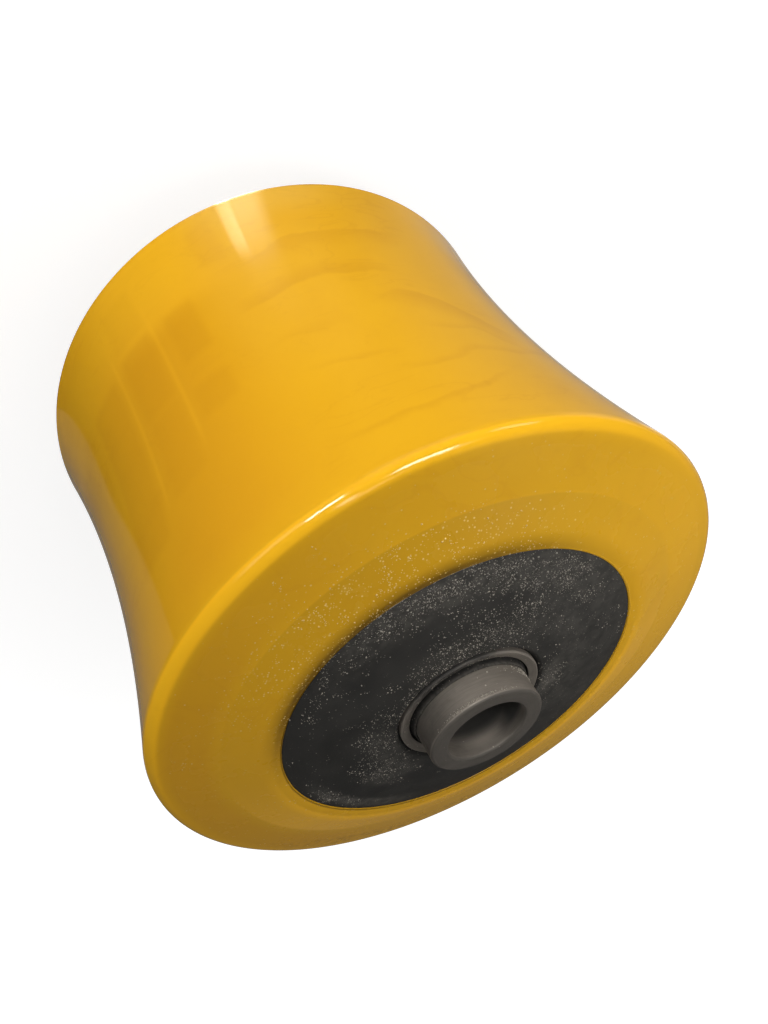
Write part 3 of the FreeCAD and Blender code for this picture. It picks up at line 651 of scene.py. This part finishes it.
def tyre_corners(s):
    """Half the tyre's outline: the tread is an arc through waist and rim, and then come the rounded rim, the
    cone, the band, the lip's arc, the bevel and the bond."""
    rise, dip = s.rim_height, s.rim_radius - s.waist_radius
    reach = (dip ** 2 + rise ** 2) / (2 * dip)
    heights = np.linspace(0, rise - 1.05 * s.rim_round, TREAD_POINTS)
    tread = s.waist_radius + reach - np.sqrt(reach ** 2 - heights ** 2)
    return [*((r, h, 0.0) for r, h in zip(tread, heights)), (s.rim_radius, s.rim_height, s.rim_round),
            (s.band_radius, s.band_height, 7 * MM), (s.lip_radius, s.lip_height, 0.0), *arc(*LIP_ARC),
            (s.hub_edge_radius, s.hub_edge_height, 0.3 * MM), (s.hub_radius, s.bevel_height, 0.0),
            (s.hub_radius, MID_WALL, 0.0), (s.hub_radius, 0.0, 0.0)]


def hub_corners(s):
    """Half the hub's outline, from the bond outwards along the end face to the bore."""
    return [(s.hub_radius, 0.0, 0.0), (s.hub_radius, MID_WALL, 0.0), (s.hub_radius, s.bevel_height, 0.0),
            (s.hub_edge_radius, s.hub_edge_height, 0.5 * MM), (s.ridge_radius, s.ridge_height, 20 * MM),
            (s.mouth_radius, s.mouth_height, 0.6 * MM), (s.bore_radius, s.mouth_height - 1.6 * MM, 0.2 * MM),
            (s.bore_radius, MID_WALL, 0.0), (s.bore_radius, 0.0, 0.0)]


def sleeve_corners(s):
    """Half the sleeve's outline: outside with the retaining ring's groove, rounded end face and bore."""
    floor = s.sleeve_radius - GROOVE_DEPTH
    return [(s.sleeve_radius, 0.0, 0.0), (s.sleeve_radius, GROOVE_LOW, 0.0), (floor, GROOVE_LOW, 0.0),
            (floor, GROOVE_HIGH, 0.0), (s.sleeve_radius, GROOVE_HIGH, 0.0),
            (s.sleeve_radius, s.sleeve_end, 1.1 * MM), (s.sleeve_bore, s.sleeve_end, 0.9 * MM),
            (s.sleeve_bore, 0.0, 0.0)]


# Radius, height and rounding of each corner in millimetres. The case is bent sheet, and the rubber has a dust
# lip, an oil lip and a round groove for the garter spring.
SEAL_CASE = ((23.8, 85.2, 0), (23.8, 91.0, 0.3), (23.3, 91.5, 0.3), (20.7, 90.6, 0.2), (20.7, 89.6, 0.15),
             (22.8, 90.05, 0.2), (22.8, 85.2, 0))
SEAL_LIP = ((22.8, 87.9, 0), (22.8, 90.05, 0), (20.7, 89.6, 0), (20.7, 90.6, 0), (20.46, 89.5, 0.08),
            (20.26, 89.5, 0.08), (19.46, 92.4, 0.15), (19.06, 92.0, 0.1), (19.51, 89.5, 0.2),
            (19.51, 87.9, 0.2), (19.06, 86.8, 0.1), (19.46, 85.4, 0.1), (20.7, 85.4, 0),
            *arc(20.7, 86.5, 0.8, 270, 90), (20.7, 87.9, 0))


def icosahedron():
    """The 12 corners and 20 faces of a solid with equal triangles, from the golden ratio."""
    g = (1 + 5 ** 0.5) / 2
    corners = np.array([(-1, g, 0), (1, g, 0), (-1, -g, 0), (1, -g, 0), (0, -1, g), (0, 1, g), (0, -1, -g),
                        (0, 1, -g), (g, 0, -1), (g, 0, 1), (-g, 0, -1), (-g, 0, 1)]) / math.hypot(1, g)
    faces = np.array([(0, 11, 5), (0, 5, 1), (0, 1, 7), (0, 7, 10), (0, 10, 11), (1, 5, 9), (5, 11, 4),
                      (11, 10, 2), (10, 7, 6), (7, 1, 8), (3, 9, 4), (3, 4, 2), (3, 2, 6), (3, 6, 8),
                      (3, 8, 9), (4, 9, 5), (2, 4, 11), (6, 2, 10), (8, 6, 7), (9, 8, 1)])
    return corners, faces


def grains(name, places, reach, rng, material):
    """Sand: each grain is an icosahedron with its corners pushed in and out, which is stretched, turned at
    random by a quaternion, scaled by its reach and set in its place."""
    corners, faces = icosahedron()
    count = len(places)
    shape = corners * rng.uniform(0.72, 1.15, (count, 12, 1)) * rng.uniform(0.65, 1.25, (count, 1, 3))
    q = rng.normal(size=(count, 4))
    a, b, c, d = (q / np.linalg.norm(q, axis=1)[:, None]).T
    turn = np.array([[a * a + b * b - c * c - d * d, 2 * (b * c - a * d), 2 * (b * d + a * c)],
                     [2 * (b * c + a * d), a * a - b * b + c * c - d * d, 2 * (c * d - a * b)],
                     [2 * (b * d - a * c), 2 * (c * d + a * b), a * a - b * b - c * c + d * d]])
    shape = np.einsum("ijn,nkj->nki", turn, shape) * reach[:, None, None] + places[:, None, :]
    every = faces[None] + 12 * np.arange(count)[:, None, None]
    piece = new_mesh(name, shape.reshape(-1, 3), every.reshape(-1, 3), material)
    tone = piece.data.attributes.new("tone", "FLOAT", "POINT")
    tone.data.foreach_set("value", np.repeat(rng.beta(2.2, 1.6, count), 12).astype(np.float32))
    return piece


# The end face from the seal outwards: radius and height in millimetres
END_PROFILE = np.array(((20.7, 90.6), (23.2, 91.42), (24.0, 89.9), (25.4, 91.0), (39.0, 89.45), (59.6, 86.5),
                        (60.5, 86.65), (63.2, 86.97), (67.0, 86.4), (77.4, 83.05), (94.0, 79.6)))
SAND_PATCHES = (
    # share of the clusters, radius low and high in millimetres, angle and spread in degrees
    (0.165, 25, 34, 122, 27), (0.110, 28, 41, 98, 18), (0.110, 25, 37, 203, 18), (0.095, 27, 43, 240, 13),
    (0.030, 25, 29, 161, 13), (0.070, 26, 35, 14, 12), (0.065, 46, 58, 76, 14), (0.180, 52, 59.4, 120, 25),
    (0.055, 46, 54, 108, 26), (0.045, 39, 50, 94, 14), (0.035, 53.5, 58.5, 236, 8), (0.085, 25, 59, 120, 75),
    (0.050, 60.8, 66, 140, 30), (0.045, 66, 77, 134, 18), (0.012, 77, 91, 165, 20),
    (0.018, 21.8, 23.2, 140, 45),
)
CLUSTER, CLUSTER_REACH = 7, 1.15
SAND_START, FLANGE_EDGE, MOUTH_EDGE, SAND_END = 20.9, 23.2, 24.6, 93.0
ROOT_GRAINS, EDGE_GRAINS = 320, 190


def sand_places(count, rng):
    """Places on the end face: cluster middles drawn patch by patch, with radii even between two limits and
    angles normal about a direction, then each grain a normal step away from its middle. None lies in the gap
    between the seal's flange and the hub's mouth."""
    counts = [round(part * count / CLUSTER) for part, *_ in SAND_PATCHES]
    low, high, angle, spread = (np.repeat([row[k] for row in SAND_PATCHES], counts) for k in (1, 2, 3, 4))
    r, t = rng.uniform(low, high), np.radians(rng.normal(angle, spread))
    middle = rng.integers(0, len(r), count)
    x = r[middle] * np.cos(t[middle]) + rng.normal(0, CLUSTER_REACH, count)
    y = r[middle] * np.sin(t[middle]) + rng.normal(0, CLUSTER_REACH, count)
    far = np.hypot(x, y)
    kept = (far > SAND_START) & ((far > MOUTH_EDGE) | (far < FLANGE_EDGE)) & (far < SAND_END)
    h = np.interp(far, END_PROFILE[:, 0], END_PROFILE[:, 1])
    return np.stack([x * MM, y * MM, MIDDLE + h * MM], 1)[kept]


def sleeve_sand(close, rng):
    """Places and reaches of the grains on the sleeve, at a radius just outside it: those by the seal's lip
    and those along the edge of the end face."""
    root, edge = ROOT_GRAINS, EDGE_GRAINS
    t = np.radians(np.concatenate([rng.normal(44.0, 18.0, root), rng.normal(128.0, 19.0, edge)]))
    h = np.concatenate([rng.uniform(92.3, 95.2, root), rng.normal(100.2, 0.25, edge)]) * MM
    reach = np.concatenate([rng.uniform(0.09, 0.22, root), rng.uniform(0.06, 0.15, edge)]) * MM
    return np.stack([close * np.cos(t), close * np.sin(t), MIDDLE + h], 1), reach


# Stage


FLOOR_PATCHES = (
    # a patch by radius, its level and warmth
    (90, 141, 5, 119.2, 1.8, 0.7, 7.0, 1.0), (90, 138, 14, 114, 4.6, 2.6, 5.0, 1.0),
    (90, 153, 14, 116.5, 5, 4, 1.0, 1.0), (90, 175, 25, 105, 9, 9, 0.45, 1.0),
    (90, 143, 8, 119, 8, 7, 1.2, 0.6), (90, 166, 18, 123, 11, 8, 0.45, 0.6),
    (90, 120, 6, 54, 14, 8, 0.10, 0.0), (285, 400, 45, 12, 10, 8, 0.90, 0.0),
    (290, 900, 40, 106, 16, 5, 1.20, 0.0), (270, 900, 50, 48, 12, 8, 0.60, 0.0),
)
TENT_WINDOWS = (
    # a patch by height, and its level
    (-1000, 2000, 100, 4, 22, 18, 0.12), (0, 130, 50, 303, 34, 12, 0.06), (110, 330, 50, 75, 7, 3, 9.0),
    (120, 420, 60, 158, 13, 6, 4.0), (660, 840, 50, 86, 7, 4, 5.0), (790, 920, 30, 132, 5, 3, 18.0),
    (900, 985, 20, 115, 20, 8, 4.5),
)
FLOOR_REACH, CARD_REACH, TENT_REACH, TENT_HEIGHT = 8.0, 0.95, 0.9, 0.2
ROLLER_AIM, RIM_AIM = (0.0, 0.0, 0.13), (-0.05, 0.08, 0.18)
CAMERA_LENS, CAMERA_SENSOR, CAMERA_SHIFT = 29.651, 36.0, (0.03875, -0.02144)
CAMERA_PLACE = (-0.16272, 0.18048, 0.31305)
CAMERA_RIGHT, CAMERA_UP = (0.86862, 0.30936, 0.38703), (0.0, 0.78113, -0.62437)


def add_lamp(name, azimuth, elevation, distance, energy, width, height, aim=ROLLER_AIM):
    """A rectangular lamp that faces aim, and whose centre is aim plus distance times the direction."""
    a, e = math.radians(azimuth), math.radians(elevation)
    away = Vector((math.cos(e) * math.cos(a), math.cos(e) * math.sin(a), math.sin(e)))
    lamp = bpy.data.lights.new(name, "AREA")
    lamp.shape, lamp.size, lamp.size_y, lamp.energy = "RECTANGLE", width, height, energy
    lamp.color = (1.0, 0.985, 0.96)
    holder = bpy.data.objects.new(name, lamp)
    bpy.context.scene.collection.objects.link(holder)
    holder.location = Vector(aim) + away * distance
    holder.rotation_euler = away.to_track_quat("Z", "Y").to_euler()
    holder.visible_camera = False
    return holder


def add_card(name, x, y, z, light):
    """A large card, as an open grid from three arrays of the same two parameters. Its level and colour of
    light are set by light(w). It takes part in gloss alone, and lights and hides nothing."""
    material, w, inputs = new_surface(name)
    level, tint = light(w)
    w.join(inputs, Base_Color=BLACK, Specular_IOR_Level=0.0, Emission_Strength=1.0,
           Emission_Color=w.mix(1.0, tint, level, "MULTIPLY"))
    rows, columns = x.shape
    i, j = np.meshgrid(np.arange(rows - 1), np.arange(columns - 1), indexing="ij")
    corner = i * columns + j
    faces = np.stack([corner, corner + 1, corner + columns + 1, corner + columns], -1).reshape(-1, 4)
    card = new_mesh(name, np.stack([x, y, z], -1).reshape(-1, 3), faces, material)
    card.visible_camera = card.visible_diffuse = card.visible_transmission = card.visible_shadow = False


def floor_light(w):
    """Dark by the tread's middle, dim at its edges, and a bright tapering warm patch that the tread shows as
    a pale streak."""
    radius, angle = w.place["Radius"], w.place["Angle"]
    bound = w.fade(radius, 114 * MM, 158 * MM, 194.5, 210.5)
    left = w.times(w.fade(w.minus(angle, bound), -0.5, 0.5, 0.0, 0.14),
                   w.fade(radius, 420 * MM, 600 * MM, 1.0, 0.3))
    right = w.fade(angle, 106.5, 66.5, 0.02, 0.30)
    outer = w.times(w.fade(radius, 500 * MM, 900 * MM, 0.0, 0.7), w.patch(radius, 0, 2 * ALL, 1, 90, 100, 25))
    level, warmth = w.plus(w.plus(left, right), outer), 0.0
    for *where, amount, warm in FLOOR_PATCHES:
        part = w.times(w.patch(radius, *where), amount)
        level = w.plus(level, part)
        warmth = w.plus(warmth, w.times(part, warm), True)
    return level, w.mix(warmth, PALE, WARM)


def tent_light(w):
    """A dim grey all round, darkest low down: lighter on the right, paler behind the end face, with five
    small bright windows that the rim shows as pale lines."""
    level = w.fade(w.place["Height"], -0.05, 0.03, 0.04, 0.10)
    for *where, amount in TENT_WINDOWS:
        level = w.plus(w.times(w.patch(w.place["Height"], *where), amount), level)
    return level, PALE


def seen_rays(w):
    """1 for rays from the camera, and those that gloss or glass sends on."""
    rays = w.add("ShaderNodeLightPath").outputs
    return w.math("MAXIMUM", w.math("MAXIMUM", rays["Is Camera Ray"], rays["Is Glossy Ray"]),
                  rays["Is Transmission Ray"])


def lay_floor(grey):
    """A pale floor that keeps the roller's shadow."""
    material, w, inputs = new_surface("pale floor")
    # Painted shade: the floor's white is dimmer near the roller, as soft shade round its foot
    white = w.fade(w.place["Radius"], 0.10, 0.45, 0.78, 1.0)
    w.join(inputs, Base_Color=[grey] * 3, Roughness=0.9, Specular_IOR_Level=0.0, Emission_Color=WHITE,
           Emission_Strength=w.times(white, seen_rays(w)))
    far = FLOOR_REACH
    corners = np.array([(-far, -far, 0), (far, -far, 0), (far, far, 0), (-far, far, 0)])
    new_mesh("floor", corners, np.array([(0, 1, 2, 3)]), material)


def light_sky(fill):
    """Even light from all round, and white where it is seen."""
    world = bpy.data.worlds.new("even sky")
    world.use_nodes = True
    bpy.context.scene.world = world
    w = Wiring(world.node_tree)
    w.join(world.node_tree.nodes["Background"].inputs, Color=WHITE,
           Strength=w.fade(seen_rays(w), 0.0, 1.0, fill, 1.0))


def hang_lamps(stage):
    """Two soft lamps that gloss doesn't show, and two slim ones that it alone shows, as lines on the rim."""
    for lamp in (add_lamp("low broad lamp", 120, 3, 0.568, stage.low_lamp, 0.40, 0.24),
                 add_lamp("high lamp", 54, 58, 0.28, stage.high_lamp, 0.12, 0.12)):
        lamp.visible_glossy = False
    for lamp in (add_lamp("left strip lamp", 141.5, 23, 0.60, stage.strip_lamp, 0.155, 0.12, RIM_AIM),
                 add_lamp("right strip lamp", 96, 46, 0.60, 1.15 * stage.strip_lamp, 0.20, 0.16, RIM_AIM)):
        lamp.visible_diffuse = False


def hang_cards():
    """A round card on the floor, r from the axis at angle t, and a dome about the roller at elevation e."""
    round_once = np.radians(np.linspace(0, 360, 90))
    r, t = np.meshgrid(np.linspace(0.001, CARD_REACH, 44), round_once, indexing="ij")
    add_card("floor_card", r * np.cos(t), r * np.sin(t), 0 * r + 0.5 * MM, floor_light)
    e, t = np.meshgrid(np.radians(np.linspace(-12, 89, 30)), round_once, indexing="ij")
    r = TENT_REACH * np.cos(e)
    add_card("tent_card", r * np.cos(t), r * np.sin(t), TENT_HEIGHT + TENT_REACH * np.sin(e), tent_light)


def place_camera():
    """The photograph's view, from the camera's place and the directions of its right and up."""
    view = bpy.data.cameras.new("photo view")
    view.lens, view.sensor_width, view.clip_start = CAMERA_LENS, CAMERA_SENSOR, 0.01
    view.shift_x, view.shift_y = CAMERA_SHIFT
    camera = bpy.data.objects.new("photo view", view)
    bpy.context.scene.collection.objects.link(camera)
    right, up = Vector(CAMERA_RIGHT), Vector(CAMERA_UP)
    turn = Matrix((right, up, right.cross(up))).transposed()
    camera.matrix_world = Matrix.Translation(CAMERA_PLACE) @ turn.to_4x4()
    bpy.context.scene.camera = camera


# Operators


def settle(piece, body, slot, *nodes):
    """The piece rides on its body and stands for its CAD nodes, which are hidden. Its slot is not used."""
    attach(piece, body)
    if nodes:
        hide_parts(*nodes)


def turn_piece(name, corners, step, around, material, side, body, slot, node):
    """Turns the rounded outline through corners, and settles the piece in place of its node."""
    settle(turned(name, rounded_outline(corners, step), side, around, material), body, slot, node)


def need(condition, message):
    """Stops with a plain message when a size can't be built."""
    if not condition:
        raise RuntimeError(message)


class ROLLER_OT_groups(bpy.types.Operator):
    """Builds the shader groups that the finishes share"""

    bl_idname = "roller.groups"
    bl_label = "Shared effects"

    def execute(self, context):
        for build in (place_group, patch_group, speck_group, pour_group, turned_group):
            build()
        return {"FINISHED"}


class ROLLER_OT_tyre(bpy.types.Operator):
    """Turns the tyre's hourglass outline and gives it cast polyurethane"""

    bl_idname = "roller.tyre"
    bl_label = "Tyre"

    def execute(self, context):
        sizes = context.scene.roller_sizes
        need(sizes.waist_radius < sizes.rim_radius, "the waist has to be slimmer than the rims")
        turn_piece("cast_tyre", mirrored(tyre_corners(sizes)), sizes.outline_step, sizes.steps_round,
                   tyre_finish(context.scene.roller_colours), 1, "roller", "tyre_polyurethane", "tyre")
        return {"FINISHED"}


class ROLLER_OT_hub(bpy.types.Operator):
    """Turns the hub's outline and gives it dusty moulded plastic"""

    bl_idname = "roller.hub"
    bl_label = "Hub"

    def execute(self, context):
        sizes = context.scene.roller_sizes
        need(sizes.bore_radius < sizes.mouth_radius < sizes.ridge_radius,
             "the hub's mouth has to lie inside its ridge")
        turn_piece("moulded_hub", mirrored(hub_corners(sizes)), sizes.outline_step, sizes.steps_round,
                   hub_finish(context.scene.roller_colours), 1, "roller", "hub_nylon", "hub")
        return {"FINISHED"}


class ROLLER_OT_sleeve(bpy.types.Operator):
    """Turns the sleeve's outline and gives it turned steel"""

    bl_idname = "roller.sleeve"
    bl_label = "Sleeve"

    def execute(self, context):
        sizes = context.scene.roller_sizes
        need(sizes.sleeve_bore < sizes.sleeve_radius, "the sleeve's bore has to be smaller than its outside")
        # The sleeve gets painted shade on its left side and far down its bore, a darker end face, and painted
        # light just inside the bore
        finish = steel_finish("sleeve turned steel", context.scene.roller_colours.sleeve, 0.35, 0.54, 0.22,
                              dust=0.10, shine=0.35, grime_and_shading=(188, 34, 28, 0.62))
        turn_piece("steel_sleeve", mirrored(sleeve_corners(sizes)), SLEEVE_STEP, sizes.sleeve_steps, finish,
                   1, "fixed_sleeve", "sleeve_steel", "sleeve")
        return {"FINISHED"}


class ROLLER_OT_seals(bpy.types.Operator):
    """Turns both seals: the pressed case with its dished flange, and the rubber with its lips"""

    bl_idname = "roller.seals"
    bl_label = "Seals"

    def execute(self, context):
        sizes, colours = context.scene.roller_sizes, context.scene.roller_colours
        # The seal's flange is darkened on its near side: painted shade
        metal = steel_finish("seal pressed steel", colours.seal, 0.5, 0.50, 0.30, dust=0.4, shine=0.35,
                             grime_and_shading=(134, 40, 15, 0.97))
        rubber = rubber_finish(colours)
        case, lip = np.array(SEAL_CASE) * MM, np.array(SEAL_LIP) * MM
        for end, side in ENDS:
            turn_piece(end + "_seal_ring", case, SEAL_STEP, sizes.sleeve_steps, metal, side,
                       "roller", "seal_steel", end + "_seal_case")
            turn_piece(end + "_seal_rubber", lip, SEAL_STEP, sizes.sleeve_steps, rubber, side,
                       "roller", "seal_rubber", end + "_seal_lip")
        return {"FINISHED"}


class ROLLER_OT_bearings(bpy.types.Operator):
    """Gives the hidden springs, cups, cages, needles, washers and rings their metals"""

    bl_idname = "roller.bearings"
    bl_label = "Bearings"

    def execute(self, context):
        colours = context.scene.roller_colours
        spring = steel_finish("garter spring steel", colours.bearing, 0.3, 0.34, 0.1)
        ground = steel_finish("ground bearing steel", colours.bearing, 0.25, 0.22, 0.08)
        cage = steel_finish("pressed cage steel", colours.cage, 0.5, 0.36, 0.2)
        bronze = steel_finish("thrust washer bronze", colours.bronze, 0.4, 0.34, 0.25)
        finishes = {"garter_spring": spring, "bearing_cup": ground, "needle_cage": cage, "needles": ground,
                    "thrust_washer": bronze, "retaining_ring": spring}
        for end, _ in ENDS:
            for kind, finish in finishes.items():
                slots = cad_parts[end + "_" + kind].material_slots
                need(slots, "the packed model gives " + kind + " no material slot")
                for slot in slots:
                    slot.material = finish
        return {"FINISHED"}


class ROLLER_OT_sand(bpy.types.Operator):
    """Scatters sand over the dusty end face and along the dust lip"""

    bl_idname = "roller.sand"
    bl_label = "Sand"

    def execute(self, context):
        rng = np.random.default_rng(20)
        finish = sand_finish(context.scene.roller_colours)
        places = sand_places(context.scene.roller_stage.grains, rng)
        reach = np.clip(rng.lognormal(math.log(0.130), 0.36, len(places)), 0.07, 0.34) * MM
        settle(grains("end_sand", places, reach, rng, finish), "roller", None)
        places, reach = sleeve_sand(context.scene.roller_sizes.sleeve_radius + 0.02 * MM, rng)
        settle(grains("sleeve_sand", places, reach, rng, finish), "fixed_sleeve", None)
        return {"FINISHED"}


class ROLLER_OT_stage(bpy.types.Operator):
    """Lays the pale floor, sets the even sky, hangs the lamps and cards and places the camera"""

    bl_idname = "roller.stage"
    bl_label = "Stage"

    def execute(self, context):
        stage = context.scene.roller_stage
        lay_floor(stage.floor_grey)
        light_sky(stage.sky_fill)
        hang_lamps(stage)
        hang_cards()
        context.scene.view_settings.view_transform = "Standard"
        place_camera()
        return {"FINISHED"}


STEPS = (ROLLER_OT_groups, ROLLER_OT_tyre, ROLLER_OT_hub, ROLLER_OT_sleeve, ROLLER_OT_seals,
         ROLLER_OT_bearings, ROLLER_OT_sand, ROLLER_OT_stage)


class ROLLER_PT_panel(bpy.types.Panel):
    """Lists the roller's steps with its sizes, colours and stage"""

    bl_idname = "ROLLER_PT_panel"
    bl_label = "Cradle Roller"
    bl_space_type = "VIEW_3D"
    bl_region_type = "UI"
    bl_category = "Roller"

    def draw(self, context):
        for step in STEPS:
            self.layout.operator(step.bl_idname)
        for label in GROUPS:
            group, box = getattr(context.scene, label), self.layout.box()
            for name in group.bl_rna.properties.keys():
                if name not in ("rna_type", "name"):
                    box.prop(group, name)


GROUPS = {"roller_sizes": RollerSizes, "roller_colours": RollerColours, "roller_stage": RollerStage}


def register():
    for kind in (*GROUPS.values(), *STEPS, ROLLER_PT_panel):
        bpy.utils.register_class(kind)
    for name, group in GROUPS.items():
        setattr(bpy.types.Scene, name, PointerProperty(type=group))


def unregister():
    for name in GROUPS:
        delattr(bpy.types.Scene, name)
    for kind in (ROLLER_PT_panel, *reversed(STEPS), *GROUPS.values()):
        bpy.utils.unregister_class(kind)


def main():
    register()
    for step in ("groups", "tyre", "hub", "sleeve", "seals", "bearings", "sand", "stage"):
        getattr(bpy.ops.roller, step)()


if __name__ == "__main__":
    main()
